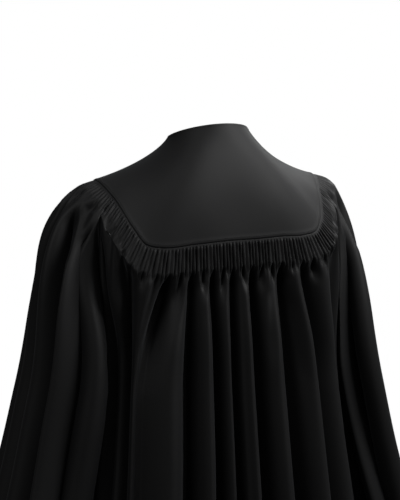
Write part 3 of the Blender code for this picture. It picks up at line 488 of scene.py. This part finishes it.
class Cut:
    """One cut of cloth, as columns numbered by its folds: column 2.5 is in the middle of the third fold.

    ring gives the points of its rings, ring_shares where its first and last columns meet them, and
    edge_places where its gathered folds begin and end on the yoke's edge. fronts says at each end whether
    the armhole there is the front one, and sides which shoulder it is on. keep holds a point on its own
    side of a seam. facing turns the way out of the cloth. fullness and spread shape its fall from the seam,
    and growth deepens its folds towards the hem. flutes is how many there are to a gather. seed tells the
    uneven sizes of one cut from another's.
    """

    def __init__(self, folds, creases, ring, ring_shares, edge_places, fronts, sides, hem, keep, facing,
                 fullness, spread, growth, flutes, gather_depth, seed):
        self.facing = facing
        self.growth = growth
        self.fullness = fullness
        self.spread = spread
        self.folds = folds
        self.creases = creases
        self.ring = ring
        self.edge_places = edge_places
        self.fronts = fronts
        self.sides = sides
        self.hem = hem
        self.keep = keep
        self.flutes = flutes
        self.gather_depth = gather_depth
        self.seed = seed
        self.numbers = np.arange(len(folds) + 1)
        gathers = np.array([fold.gathers for fold in folds])
        sewn = np.flatnonzero(gathers)
        self.first = int(sewn[0])
        self.last = int(sewn[-1]) + 1
        self.reached = np.concatenate([[0], np.cumsum(gathers)])
        self.low = self._shares([fold.low_width for fold in folds], ring_shares)
        self.hem_shares = self._shares([fold.hem_width for fold in folds], ring_shares)

    @staticmethod
    def _shares(widths, ends):
        reached = np.concatenate([[0], np.cumsum(widths)]) / np.sum(widths)
        return ends[0] + (ends[1] - ends[0]) * reached

    def gather(self, column):
        """How many gathers lie before a column."""
        return np.interp(column, self.numbers, self.reached)

    def edge_place(self, column):
        """The place on the yoke's edge that a column hangs from."""
        share = self.gather(column) / self.reached[-1]
        return self.edge_places[0] + (self.edge_places[1] - self.edge_places[0]) * share

    def start(self, column):
        """Where a column leaves the fluted band or the armhole, and which way it goes."""
        place = self.edge_place(column)
        point = band_end(place)
        way = yoke_fall(place)
        down = np.array([0, 0, -1.0])
        ends = ((0, column < self.first, self.first), (1, column > self.last, self.last))
        for end, before, after in ends:
            outer_end = self.numbers[0] if end == 0 else self.numbers[-1]
            if outer_end == after or not before.any():
                continue
            share = (column[before] - after) / (outer_end - after)
            reached = armhole(share, self.fronts[end])
            reached[:, 0] *= self.sides[end]
            point[before] = reached
            turned = ease(share * 2)[:, None]
            way[before] = unit(way[before] * (1 - turned) + down * turned)
        return point, unit(way * self.spread + down * (1 - self.spread))

    def held_in(self, column, down):
        """A column and a height kept on the cut: outside the fluted folds it starts at the armhole."""
        column = np.clip(np.asarray(column, float), 0, len(self.folds))
        top = np.where((column < self.first) | (column > self.last), 1, 0)
        return column, np.clip(np.asarray(down, float), top, 3)

    def base(self, column, down):
        """The cloth with its folds smoothed out."""
        column, down = self.held_in(column, down)
        start, way = self.start(column)
        place = self.edge_place(column)
        band = yoke_edge(place) + yoke_fall(place) * (FLUTED_BAND * np.clip(down, 0, 1))[:, None]
        low = self.ring(np.interp(column, self.numbers, self.low), np.full(len(column), LOW_Z))
        below = self.ring(np.interp(column, self.numbers, self.low), np.full(len(column), LOW_Z - 0.03))
        span = np.linalg.norm(low - start, axis=1, keepdims=True)
        t = np.clip(down - 1, 0, 1)[:, None]
        fall = (
            (1 - t) ** 3 * start
            + 3 * t * (1 - t) ** 2 * (start + way * span * self.fullness)
            + 3 * t * t * (1 - t) * (low - unit(below - low) * span * 0.45)
            + t**3 * low
        )
        sunk = np.clip(down - 2, 0, 1)
        z = LOW_Z + (self.hem - LOW_Z) * sunk
        shares = np.interp(column, self.numbers, self.low) * (1 - ease(sunk))
        shares = shares + np.interp(column, self.numbers, self.hem_shares) * ease(sunk)
        rings = self.ring(shares, z)
        banded = (down < 1)[:, None]
        ringed = (down > 2)[:, None]
        return np.where(banded, band, np.where(ringed, rings, fall))

    def base_normal(self, column, down):
        across = self.base(column + ACROSS, down) - self.base(column - ACROSS, down)
        along = self.base(column, down + NUDGE) - self.base(column, down - NUDGE)
        return unit(np.cross(along, across)) * self.facing

    def fold_relief(self, column, down):
        """The long folds: round ridges that lean to one side, with a narrow deep valley between two.

        Gives how far the cloth stands out and how far it leans towards the next column.
        """
        fold = np.clip(np.floor(column).astype(int), 0, len(self.folds) - 1)
        phase = np.clip(column - fold, 0, 1)
        crest = np.array([row.crest for row in self.folds])[fold]
        leaning = phase ** (math.log(0.5) / np.log(crest))
        aside = np.clip(np.abs(2 * leaning - 1) / (1 - GUTTER), 0, 1)
        ridge = 1 - aside**ROUNDNESS
        high = np.array([row.high_depth for row in self.folds]) * DEEPER
        low = np.array([row.depth for row in self.folds]) * DEEPER
        lowered = ease(down - 1)
        depth = high[fold] + (low - high)[fold] * lowered
        middles = self.numbers[:-1] + 0.5
        even = np.interp(column, middles, high) * (1 - lowered) + np.interp(column, middles, low) * lowered
        sewn = np.array([min(row.gathers, 1) for row in self.folds])
        sewn = np.interp(column, middles, sewn)
        sunk = sewn * ease((down - 1) / 0.22) + (1 - sewn) * ease((down - 1.04) / 0.3)
        risen = ease((down - 1) / 0.75)
        wider = 1 + self.growth * np.clip(down - 2, 0, 1)
        outward = depth * ridge * (1 - VALLEY_SHARE) * risen - even * (1 - ridge) * VALLEY_SHARE * sunk
        return outward * wider, LEAN * (crest - 0.5) * depth * ridge * risen

    def gather_relief(self, column, down):
        """The gathers under the band. Each groove between two has its own depth, slant and length."""
        gather = self.gather(column)
        flutes = flutes_end(self.edge_place(column))
        opening = GATHER_OPENING + 1.1 * (LONG_FLUTES - flutes)
        from_top = np.clip(down - flutes, -0.12, 2)
        from_end = np.minimum(gather, self.reached[-1] - gather)
        sewn = (column >= self.first) & (column <= self.last)
        relief = PUFF * ease(2 * from_top / opening) * (1 - ease(from_top / (2 * opening)))
        for number in range(1, int(self.reached[-1])):
            mark = number + self.seed
            length = uneven(mark, 0.14, 0.80)
            lean = uneven(mark + 0.5, -0.7, 0.7)
            depth = self.gather_depth * uneven(mark + 0.25, 0.45, 1.35)
            width = 0.07 + 0.42 * opening + uneven(mark + 0.75, 0.25, 0.60) * np.clip(from_top, 0, 1)
            aside = (gather - number - lean * np.clip(from_top, 0, 1)) / width
            reach = length + opening - GATHER_OPENING
            fading = ease((from_top + 0.12) / opening) * (1 - ease(from_top / reach))
            relief = relief - depth * np.exp(-aside**2) * fading
        return relief * sewn * ease(from_end)

    def flute_relief(self, column, down):
        """The flutes of the band: fine, uneven round ridges, flat for a little way under the seam."""
        place = self.edge_place(column)
        strength = smooth(place, column_of(FLUTE_DEPTHS, "place"), column_of(FLUTE_DEPTHS, "depth"))
        count = self.flutes * self.gather(column)
        wander = 0.10 * np.sin(count * 1.7 + self.seed) + 0.07 * np.sin(count * 4.3 + 6 * down)
        wave = np.abs(np.sin(np.pi * (count + wander))) ** 1.2
        uneven_depth = 1 + 0.22 * np.sin(count * 2.3 + self.seed) + 0.13 * np.sin(count * 0.61 + 2)
        held = ease((down - 0.4 * FLAT_STRIP) / FLAT_STRIP)
        held = held * (1 - ease((down - flutes_end(place) + 0.08) / 0.24))
        sewn = (column >= self.first) & (column <= self.last)
        return FLUTE * (wave - FLUTE_SLACK) * strength * uneven_depth * held * sewn

    def crease_relief(self, column, down):
        relief = np.zeros(len(column))
        for crease in self.creases:
            share = (down - crease.top) / (crease.bottom - crease.top)
            middle = crease.top_column + (crease.bottom_column - crease.top_column) * np.clip(share, 0, 1)
            fading = ease(share / 0.25) * ease((1 - share) / 0.35)
            relief = relief - crease.depth * fading * np.exp(-((column - middle) / crease.width) ** 2)
        return relief

    def surface(self, column, down):
        """The cloth's outer face."""
        column, down = self.held_in(column, down)
        point = self.base(column, down)
        normal = self.base_normal(column, down)
        along = unit(self.base(column + ACROSS, down) - self.base(column - ACROSS, down))
        folds, lean = self.fold_relief(column, down)
        relief = folds + self.gather_relief(column, down)
        relief = relief + self.flute_relief(column, down) + self.crease_relief(column, down)
        relief = relief - TUCK_DEPTH * (1 - ease(down / 0.03))
        tucked = TUCK * (1 - ease(down / 0.06))
        point = point + normal * relief[:, None] + along * lean[:, None]
        return self.keep(point - yoke_fall(self.edge_place(column)) * tucked[:, None])


def keep_back(points):
    """The back stays behind the side seams and inside the sleeves."""
    limit = divide(points[:, 2], points[:, 1]) - SEAM_GAP
    limit = np.where(points[:, 2] < BELOW_CUFF_Z, 1, limit)
    x = np.clip(points[:, 0], -limit, limit)
    y = np.where(np.abs(points[:, 0]) > 0.1, np.maximum(points[:, 1], SEAM_GAP / 2), points[:, 1])
    return np.stack([x, y, points[:, 2]], axis=1)


def keep_front(points):
    """The left front stays before the side seam, inside the sleeve and beside the zip."""
    limit = divide(points[:, 2], points[:, 1]) - SEAM_GAP
    limit = np.where(points[:, 2] < BELOW_CUFF_Z, 1, limit)
    x = np.clip(points[:, 0], ZIP_HALF_WIDTH - ZIP_LAP, limit)
    y = np.where(points[:, 0] > 0.1, np.minimum(points[:, 1], -SEAM_GAP / 2), points[:, 1])
    return np.stack([x, y, points[:, 2]], axis=1)


def keep_sleeve(points):
    """The left sleeve stays outside the body."""
    clear = SEAM_GAP + SLEEVE_CLEAR * ease((-0.15 - points[:, 2]) / 0.15)
    limit = np.where(points[:, 2] < ARMHOLE_TOP_Z, divide(points[:, 2], points[:, 1]) + clear, 0)
    return np.stack([np.maximum(points[:, 0], limit), points[:, 1], points[:, 2]], axis=1)


def back_cut():
    ends = (PLACE["back armhole"], -PLACE["back armhole"])
    return Cut(BACK_FOLDS, BACK_CREASES, body_ring, ring_shares=(1, -1), edge_places=ends,
               fronts=(False, False), sides=(1, -1), hem=HEM_Z, keep=keep_back, facing=1, fullness=0.16,
               spread=0.35, growth=0.9, flutes=3, gather_depth=0.0120, seed=0)


def run_under_fronts(cut, column, down):
    """The back's cloth, with its side edges run on under the fronts, so that the side seams are closed."""
    points = cut.surface(column, down)
    at_seam = (column == 0) | (column == len(cut.folds))
    points[at_seam, 0] -= np.sign(points[at_seam, 0]) * SEAM_UNDER
    points[at_seam, 1] -= SEAM_ALLOWANCE
    return points


def front_cut(seed):
    """The left front, from the side seam to the zip."""
    ends = (PLACE["front armhole"], PLACE["centre front"])
    return Cut(FRONT_FOLDS, FRONT_CREASES, body_ring, ring_shares=(1, 2), edge_places=ends,
               fronts=(True, True), sides=(1, 1), hem=HEM_Z, keep=keep_front, facing=-1, fullness=0.16,
               spread=0.35, growth=0.9, flutes=5, gather_depth=0.0085, seed=seed)


def sleeve_cut(folds, creases, rings, fullness, spread, seed):
    """A sleeve, as on the left, from the underarm round the back of the arm and back to the underarm."""
    ends = (PLACE["back armhole"] + 2 * SEAM_GAP, PLACE["front armhole"] - 2 * SEAM_GAP)
    return Cut(folds, creases, partial(sleeve_ring, rings), ring_shares=(1, -1), edge_places=ends,
               fronts=(False, True), sides=(1, 1), hem=CUFF_Z, keep=keep_sleeve, facing=-1,
               fullness=fullness, spread=spread, growth=0.1, flutes=3, gather_depth=0.0190, seed=seed)


def hung(point):
    """A point of the gown as worn: the shoulder on the wearer's right is a little lower."""
    drop = RIGHT_SHOULDER_DROP * ease((-point.x - 0.08) / 0.10) * ease((point.z + 0.22) / 0.12)
    return (point.x, point.y, point.z - drop)


# Materials

def linear(hex_colour):
    """A linear colour from an sRGB hex value."""
    channels = [int(hex_colour[at:at + 2], 16) / 255 for at in (1, 3, 5)]
    return tuple(c / 12.92 if c <= 0.04045 else ((c + 0.055) / 1.055) ** 2.4 for c in channels) + (1,)


def node(tree, kind, settings=None, links=None):
    """Adds a node. settings go to its attributes, or to its inputs by name, and links to its inputs."""
    made = tree.nodes.new(kind)
    for name, value in (settings or {}).items():
        if hasattr(made, name):
            setattr(made, name, value)
        else:
            made.inputs[name].default_value = value
    for name, source in (links or {}).items():
        tree.links.new(source, made.inputs[name])
    return made


def new_material(name):
    made = bpy.data.materials.new(name)
    made.use_nodes = True
    return made, made.node_tree, made.node_tree.nodes["Principled BSDF"]


def polyester_cloth(name, shade, light_shade, sheen, thread):
    """Woven matte polyester, dyed black: dull, with a soft sheen where it turns away from the eye."""
    made, tree, shader = new_material(name)
    shader.inputs["IOR"].default_value = 1.5
    shader.inputs["Sheen Weight"].default_value = sheen
    shader.inputs["Sheen Roughness"].default_value = 0.45
    shader.inputs["Sheen Tint"].default_value = linear("#c8ccd2")
    place = node(tree, "ShaderNodeUVMap", {"uv_map": "cloth"})
    # Broad faint patches: worn and pressed cloth is never quite even in tone or shine.
    patches = node(tree, "ShaderNodeTexNoise", {"Scale": 9.0, "Detail": 3.0},
                   {"Vector": place.outputs["UV"]})
    tone = node(tree, "ShaderNodeValToRGB", links={"Fac": patches.outputs["Fac"]})
    tone.color_ramp.elements[0].color = linear(shade)
    tone.color_ramp.elements[1].color = linear(light_shade)
    tree.links.new(tone.outputs["Color"], shader.inputs["Base Color"])
    shine = node(tree, "ShaderNodeMapRange", {"To Min": 0.56, "To Max": 0.66},
                 {"Value": patches.outputs["Fac"]})
    tree.links.new(shine.outputs["Result"], shader.inputs["Roughness"])
    # Plain weave: the real threads lie about 0.25 mm apart. A wave's length is 0.314 over its scale, so a
    # scale of 1000 draws one every 0.31 mm. They break up the shine and don't show one by one.
    warp = node(tree, "ShaderNodeTexWave", {"bands_direction": "X", "Scale": thread, "Distortion": 0.4,
                                            "Detail": 1.0}, {"Vector": place.outputs["UV"]})
    weft = node(tree, "ShaderNodeTexWave", {"bands_direction": "Y", "Scale": thread, "Distortion": 0.4,
                                            "Detail": 1.0}, {"Vector": place.outputs["UV"]})
    weave = node(tree, "ShaderNodeMath", {"operation": "MULTIPLY"})
    tree.links.new(warp.outputs["Fac"], weave.inputs[0])
    tree.links.new(weft.outputs["Fac"], weave.inputs[1])
    bump = node(tree, "ShaderNodeBump", {"Strength": 0.10, "Distance": 0.0002},
                {"Height": weave.outputs[0]})
    tree.links.new(bump.outputs["Normal"], shader.inputs["Normal"])
    return made


def plain_finish(name, shade, roughness):
    """An even dark finish with a grain of about a millimetre, just enough to break up its shine."""
    made, tree, shader = new_material(name)
    shader.inputs["Base Color"].default_value = linear(shade)
    shader.inputs["Roughness"].default_value = roughness
    where = node(tree, "ShaderNodeTexCoord")
    grain = node(tree, "ShaderNodeTexNoise", {"Scale": 900.0, "Detail": 2.0},
                 {"Vector": where.outputs["Object"]})
    bump = node(tree, "ShaderNodeBump", {"Strength": 0.15, "Distance": 0.0001},
                {"Height": grain.outputs["Fac"]})
    tree.links.new(bump.outputs["Normal"], shader.inputs["Normal"])
    return made


gown_cloth = polyester_cloth("black_polyester_cloth", "#121212", "#171718", 0.12, 1000.0)
# Twisted polyester: a touch lighter and shinier than the cloth, so that the rows of stitches show.
black_thread = plain_finish("black_polyester_thread", "#1b1b1c", 0.5)
# Moulded plastic: smooth, with small sharp lights on the teeth.
zip_teeth = plain_finish("black_moulded_zip_teeth", "#131314", 0.3)
# Woven tape: flat and dull beside the teeth.
zip_tape = plain_finish("black_woven_zip_tape", "#121213", 0.7)
# Enamelled zinc: smooth black paint with a soft shine, so no bare metal shows.
zip_metal = plain_finish("black_enamelled_metal", "#1a1a1c", 0.35)


# Cloth pieces

def cloth_grid(name, columns, rows, place_points, flat):
    """A grid of cloth. place_points gives a point for each column and row. flat is the cut's size."""
    bm = bmesh.new()
    bmesh.ops.create_grid(bm, x_segments=len(columns) - 1, y_segments=len(rows) - 1, size=0.5)
    bm.verts.ensure_lookup_table()
    shares = np.array([vertex.co for vertex in bm.verts]) + 0.5
    across = np.rint(shares[:, 0] * (len(columns) - 1)).astype(int)
    down = np.rint((1 - shares[:, 1]) * (len(rows) - 1)).astype(int)
    points = place_points(np.asarray(columns)[across], np.asarray(rows)[down])
    uv = bm.loops.layers.uv.new("cloth")
    for face in bm.faces:
        for loop in face.loops:
            share = shares[loop.vert.index]
            loop[uv].uv = (share[0] * flat[0], share[1] * flat[1])
    for vertex, point in zip(bm.verts, points.tolist()):
        vertex.co = point
    return bm


def finish_piece(name, bm, material, body, mirror=False, thick=0.0, merge=2e-5, outward=None):
    """Makes a mesh an object. outward is a point inside the piece, from which its faces look away."""
    if mirror:
        bmesh.ops.scale(bm, vec=(-1, 1, 1), verts=bm.verts)
    for vertex in bm.verts:
        vertex.co = hung(vertex.co)
    if merge:
        bmesh.ops.remove_doubles(bm, verts=bm.verts, dist=merge)
    bmesh.ops.recalc_face_normals(bm, faces=bm.faces)
    if outward is not None:
        bm.faces.ensure_lookup_table()
        total = 0
        for face in bm.faces:
            total += face.normal.dot(face.calc_center_median() - outward) * face.calc_area()
        if total < 0:
            bmesh.ops.reverse_faces(bm, faces=bm.faces)
    mesh = bpy.data.meshes.new(name)
    bm.to_mesh(mesh)
    bm.free()
    for polygon in mesh.polygons:
        polygon.use_smooth = True
    mesh.materials.append(material)
    made = bpy.data.objects.new(name, mesh)
    bpy.context.scene.collection.objects.link(made)
    if thick:
        wall = made.modifiers.new("cloth wall", "SOLIDIFY")
        wall.thickness = thick
        wall.offset = -1
    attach(made, body)
    return made


def spaced(*runs):
    """Stations from runs of (end, steps), each starting where the last one ended."""
    at = [0.0]
    for end, steps in runs:
        at += list(at[-1] + (end - at[-1]) * (step + 1) / steps for step in range(steps))
    return at


ROWS = spaced((0.08, 4), (0.2, 3), (0.5, 2), (0.88, 5), (1.16, 10), (1.5, 11), (2.0, 12), (3.0, 22))


def cut_columns(cut, flute_points, armhole_points):
    """Columns across a cut, close enough on the gathered folds to draw each flute."""
    columns = []
    for number, fold in enumerate(cut.folds):
        points = fold.gathers * cut.flutes * flute_points or armhole_points
        columns += [number + step / points for step in range(points)]
    return columns + [len(cut.folds)]


def cloth_piece(name, cut, stands_for, flat, flute_points, mirror=False):
    columns = cut_columns(cut, flute_points, 14)
    place_points = partial(run_under_fronts, cut) if name == "back_cloth" else cut.surface
    bm = cloth_grid(name, columns, ROWS, place_points, flat)
    middle = Vector((0, 0, -0.6))
    if "sleeve" in name:
        middle = Vector((-0.29 if mirror else 0.29, -0.02, -0.5))
    made = finish_piece(name, bm, gown_cloth, "gown", mirror, CLOTH, outward=middle)
    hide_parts(stands_for)
    return made


def yoke_piece(name, first, last, columns, stands_for, flat, mirror=False):
    """A yoke: smooth cloth from the neckline to its seam, a little raised where the seam lies under it."""
    places = np.linspace(first, last, columns + 1)

    def place_points(place, share):
        point = draped_yoke(place, share)
        along = draped_yoke(place + NUDGE, share) - draped_yoke(place - NUDGE, share)
        under = draped_yoke(place, share + NUDGE) - draped_yoke(place, share - NUDGE)
        normal = unit(np.cross(along, under))
        length = np.linalg.norm(yoke_edge(place) - neckline(place), axis=1)
        from_seam = (1 - share) * length
        raised = SEAM_RIDGE * ease(1 - np.abs(from_seam - SEAM_RIDGE_PLACE) / SEAM_RIDGE_WIDTH)
        rolled = SEAM_ROLL * ease(1 - from_seam / SEAM_ROLL_WIDTH)
        return point + normal * (YOKE_LIFT + raised - rolled)[:, None]

    rows = spaced((0.02, 2), (0.90, 26), (0.97, 8), (1.0, 6))
    bm = cloth_grid(name, places, rows, place_points, flat)
    made = finish_piece(name, bm, gown_cloth, "gown", mirror, YOKE_CLOTH,
                        outward=Vector((0, 0, -0.5)))
    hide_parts(stands_for)
    return made


shoulder = PLACE["shoulder"]
centre_front = PLACE["centre front"]
back_yoke = yoke_piece("back_yoke_cloth", shoulder, -shoulder, 220, "yoke_back", (0.42, 0.25))
whole_back = back_cut()
left_front = front_cut(seed=40)
right_front = front_cut(seed=70)
left_arm = sleeve_cut(LEFT_SLEEVE_FOLDS, LEFT_SLEEVE_CREASES, LEFT_SLEEVE_RINGS, LEFT_FULLNESS, LEFT_SPREAD,
                      seed=100)
right_arm = sleeve_cut(RIGHT_SLEEVE_FOLDS, RIGHT_SLEEVE_CREASES, RIGHT_SLEEVE_RINGS, RIGHT_FULLNESS,
                       RIGHT_SPREAD, seed=130)
left_front_yoke = yoke_piece("front_yoke_cloth_left", centre_front, shoulder, 90, "yoke_front_left",
                             (0.25, 0.19))
right_front_yoke = yoke_piece("front_yoke_cloth_right", centre_front, shoulder, 90, "yoke_front_right",
                              (0.25, 0.19), mirror=True)
cloth_piece("back_cloth", whole_back, "back", (1.25, 1.05), 6)
cloth_piece("front_cloth_left", left_front, "front_left", (0.62, 1.05), 6)
cloth_piece("front_cloth_right", right_front, "front_right", (0.62, 1.05),
            6, mirror=True)
cloth_piece("sleeve_cloth_left", left_arm, "sleeve_left", (0.72, 0.60), 5)
cloth_piece("sleeve_cloth_right", right_arm, "sleeve_right", (0.72, 0.60), 5,
            mirror=True)


def on_yoke(place, from_neck=None, from_edge=None):
    """Points on a yoke's outer face, and the way out of it, some way in from its neckline or its seam."""
    length = np.linalg.norm(yoke_edge(place) - neckline(place), axis=1)
    share = from_neck / length if from_edge is None else 1 - from_edge / length
    along = draped_yoke(place + NUDGE, share) - draped_yoke(place - NUDGE, share)
    under = draped_yoke(place, share + NUDGE) - draped_yoke(place, share - NUDGE)
    normal = unit(np.cross(along, under))
    return draped_yoke(place, share) + normal * (YOKE_LIFT + YOKE_STITCH_LIFT), normal


def on_cut(cut, column, down):
    """Points on a cut's outer face and the way out of it."""
    across = cut.surface(column + NUDGE, down) - cut.surface(column - NUDGE, down)
    along = cut.surface(column, down + NUDGE) - cut.surface(column, down - NUDGE)
    normal = unit(np.cross(along, across)) * cut.facing
    return cut.surface(column, down) + normal * CUT_STITCH_LIFT, normal


def sew(bm, points, normals, mirror=False):
    """A row of stitches along a line: small rounded lengths of thread, lying on the cloth."""
    flip = np.array([-1 if mirror else 1, 1, 1])
    points = points * flip
    normals = normals * flip
    reached = np.concatenate([[0], np.cumsum(np.linalg.norm(np.diff(points, axis=0), axis=1))])
    for at in np.arange(STITCH_PITCH, reached[-1] - STITCH_PITCH, STITCH_PITCH):
        middle, ahead, out = (np.array([np.interp(where, reached, rows[:, axis]) for axis in range(3)])
                              for where, rows in ((at, points), (at + NUDGE, points), (at, normals)))
        along = Vector(ahead - middle).normalized()
        aside = Vector(out).cross(along).normalized()
        turn = Matrix((along, aside, along.cross(aside))).transposed().to_4x4()
        place = Matrix.Translation(middle) @ turn @ Matrix.Diagonal((*STITCH, 1))
        bmesh.ops.create_icosphere(bm, subdivisions=1, radius=1, matrix=place)


def sewing(name, rows):
    bm = bmesh.new()
    for points, normals, mirror in rows:
        sew(bm, points, normals, mirror)
    return finish_piece(name, bm, black_thread, "gown", merge=0)


back_places = np.linspace(shoulder, -shoulder, 400)
front_places = np.linspace(centre_front, shoulder, 160)[2:]
yoke_rows = [
    (*on_yoke(back_places, from_edge=SEWN_IN), False),
    (*on_yoke(back_places, from_neck=SEWN_IN), False),
]
for mirrored in (False, True):
    yoke_rows.append((*on_yoke(front_places, from_edge=SEWN_IN), mirrored))
    yoke_rows.append((*on_yoke(front_places, from_neck=SEWN_IN), mirrored))
sewing("yoke_stitches", yoke_rows)


def hem_row(cut, mirror):
    column = np.linspace(0.02, len(cut.folds) - 0.02, 60 * len(cut.folds))
    down = np.full(len(column), 3 - TURNED_HEM / (LOW_Z - cut.hem))
    return (*on_cut(cut, column, down), mirror)


def zip_row(cut, mirror):
    down = np.linspace(0.12, 2.99, 900)
    return (*on_cut(cut, np.full(len(down), len(cut.folds) - 0.16), down), mirror)


sewing("hem_stitches", [hem_row(whole_back, False), hem_row(left_front, False), hem_row(right_front, True)])
sewing("cuff_stitches", [hem_row(left_arm, False), hem_row(right_arm, True)])
sewing("zip_stitches", [zip_row(left_front, False), zip_row(right_front, True)])


def teeth():
    """The zip's closed teeth: one from each side in turn, down the front of its tape."""
    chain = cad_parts["zip_chain"]
    corners = [chain.matrix_world @ vertex.co for vertex in chain.data.vertices]
    faces = [polygon.vertices[:] for polygon in chain.data.polygons]
    tape = BVHTree.FromPolygons(corners, faces)
    top = max(corner.z for corner in corners) - TEETH_START
    bottom = min(corner.z for corner in corners) + TEETH_END
    bm = bmesh.new()
    for number, z in enumerate(np.arange(top, bottom, -TOOTH_PITCH / 2)):
        middle, out, _, _ = tape.ray_cast(Vector((0, -1, z)), Vector((0, 1, 0)))
        if middle is None:
            continue
        side = Vector((1 if number % 2 else -1, 0, 0))
        down = side.cross(out).normalized()
        turn = Matrix((side, down, side.cross(down))).transposed().to_4x4()
        place = Matrix.Translation(middle + side * TOOTH_ASIDE + out * TOOTH_PROUD)
        place = place @ turn @ Matrix.Diagonal((*TOOTH, 1))
        bmesh.ops.create_cube(bm, size=1, matrix=place)
    made = finish_piece("zip_teeth", bm, zip_teeth, "gown", merge=0)
    for polygon in made.data.polygons:
        polygon.use_smooth = False


teeth()

for name, material in (("zip_chain", zip_tape), ("zip_slider", zip_metal), ("zip_pull_tab", zip_metal)):
    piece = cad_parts[name]
    piece.data.materials.clear()
    piece.data.materials.append(material)


# Floor, light and camera

def floor():
    bm = bmesh.new()
    bmesh.ops.create_circle(bm, cap_ends=True, segments=96, radius=2.4)
    bmesh.ops.translate(bm, vec=(0, 0, FLOOR_Z), verts=bm.verts)
    mesh = bpy.data.meshes.new("floor")
    bm.to_mesh(mesh)
    bm.free()
    made = bpy.data.objects.new("floor", mesh)
    bpy.context.scene.collection.objects.link(made)
    finish, tree, shader = new_material("pale_matte_floor")
    shader.inputs["Base Color"].default_value = linear("#e6e6e4")
    shader.inputs["Roughness"].default_value = 0.9
    # A little glow makes the floor as pale as the lit ground of a white studio. It gives the gown no light.
    shader.inputs["Emission Color"].default_value = linear("#e6e6e4")
    shader.inputs["Emission Strength"].default_value = FLOOR_GLOW
    made.visible_diffuse = False
    made.visible_glossy = False
    mesh.materials.append(finish)


def aim(thing, target, back, distance):
    thing.location = target + back * distance
    thing.rotation_euler = back.to_track_quat("Z", "Y").to_euler()


def softbox(name, target, way, distance, width, height, power):
    light = bpy.data.lights.new(name, "AREA")
    light.shape = "RECTANGLE"
    light.size = width
    light.size_y = height
    light.energy = power
    made = bpy.data.objects.new(name, light)
    bpy.context.scene.collection.objects.link(made)
    aim(made, target, way.normalized(), distance)


def studio():
    azimuth = math.radians(155)
    elevation = math.radians(8)
    target = Vector((0.0087, -0.0041, -0.1737))
    back = Vector((math.sin(azimuth) * math.cos(elevation), -math.cos(azimuth) * math.cos(elevation),
                   math.sin(elevation)))
    right = Vector((math.cos(azimuth), math.sin(azimuth), 0))
    up = back.cross(right)
    camera = bpy.data.cameras.new("camera")
    camera.lens = 135
    camera.sensor_width = 36
    made = bpy.data.objects.new("camera", camera)
    bpy.context.scene.collection.objects.link(made)
    aim(made, target, back, 3.0)
    bpy.context.scene.camera = made
    softbox("key light", target, right * 1.0 + back * 0.42 + up * 0.95, 1.6, 0.7, 0.9, 16)
    softbox("left light", target, right * -0.7 + back * 0.95 + up * 0.7, 2.6, 1.2, 1.6, 9)
    softbox("front light", target, right * 0.6 + back * -0.75 + up * 0.8, 2.6, 1.4, 1.4, 18)
    world = bpy.data.worlds.new("white studio")
    bpy.context.scene.world = world
    world.use_nodes = True
    tree = world.node_tree
    dim = tree.nodes["Background"]
    dim.inputs["Color"].default_value = (1, 1, 1, 1)
    dim.inputs["Strength"].default_value = 0.04
    white = node(tree, "ShaderNodeBackground", {"Color": (1, 1, 1, 1), "Strength": 1.0})
    seen = node(tree, "ShaderNodeLightPath")
    mix = node(tree, "ShaderNodeMixShader")
    tree.links.new(seen.outputs["Is Camera Ray"], mix.inputs[0])
    tree.links.new(dim.outputs[0], mix.inputs[1])
    tree.links.new(white.outputs[0], mix.inputs[2])
    tree.links.new(mix.outputs[0], tree.nodes["World Output"].inputs["Surface"])
    bpy.context.scene.view_settings.view_transform = "Standard"


floor()
studio()
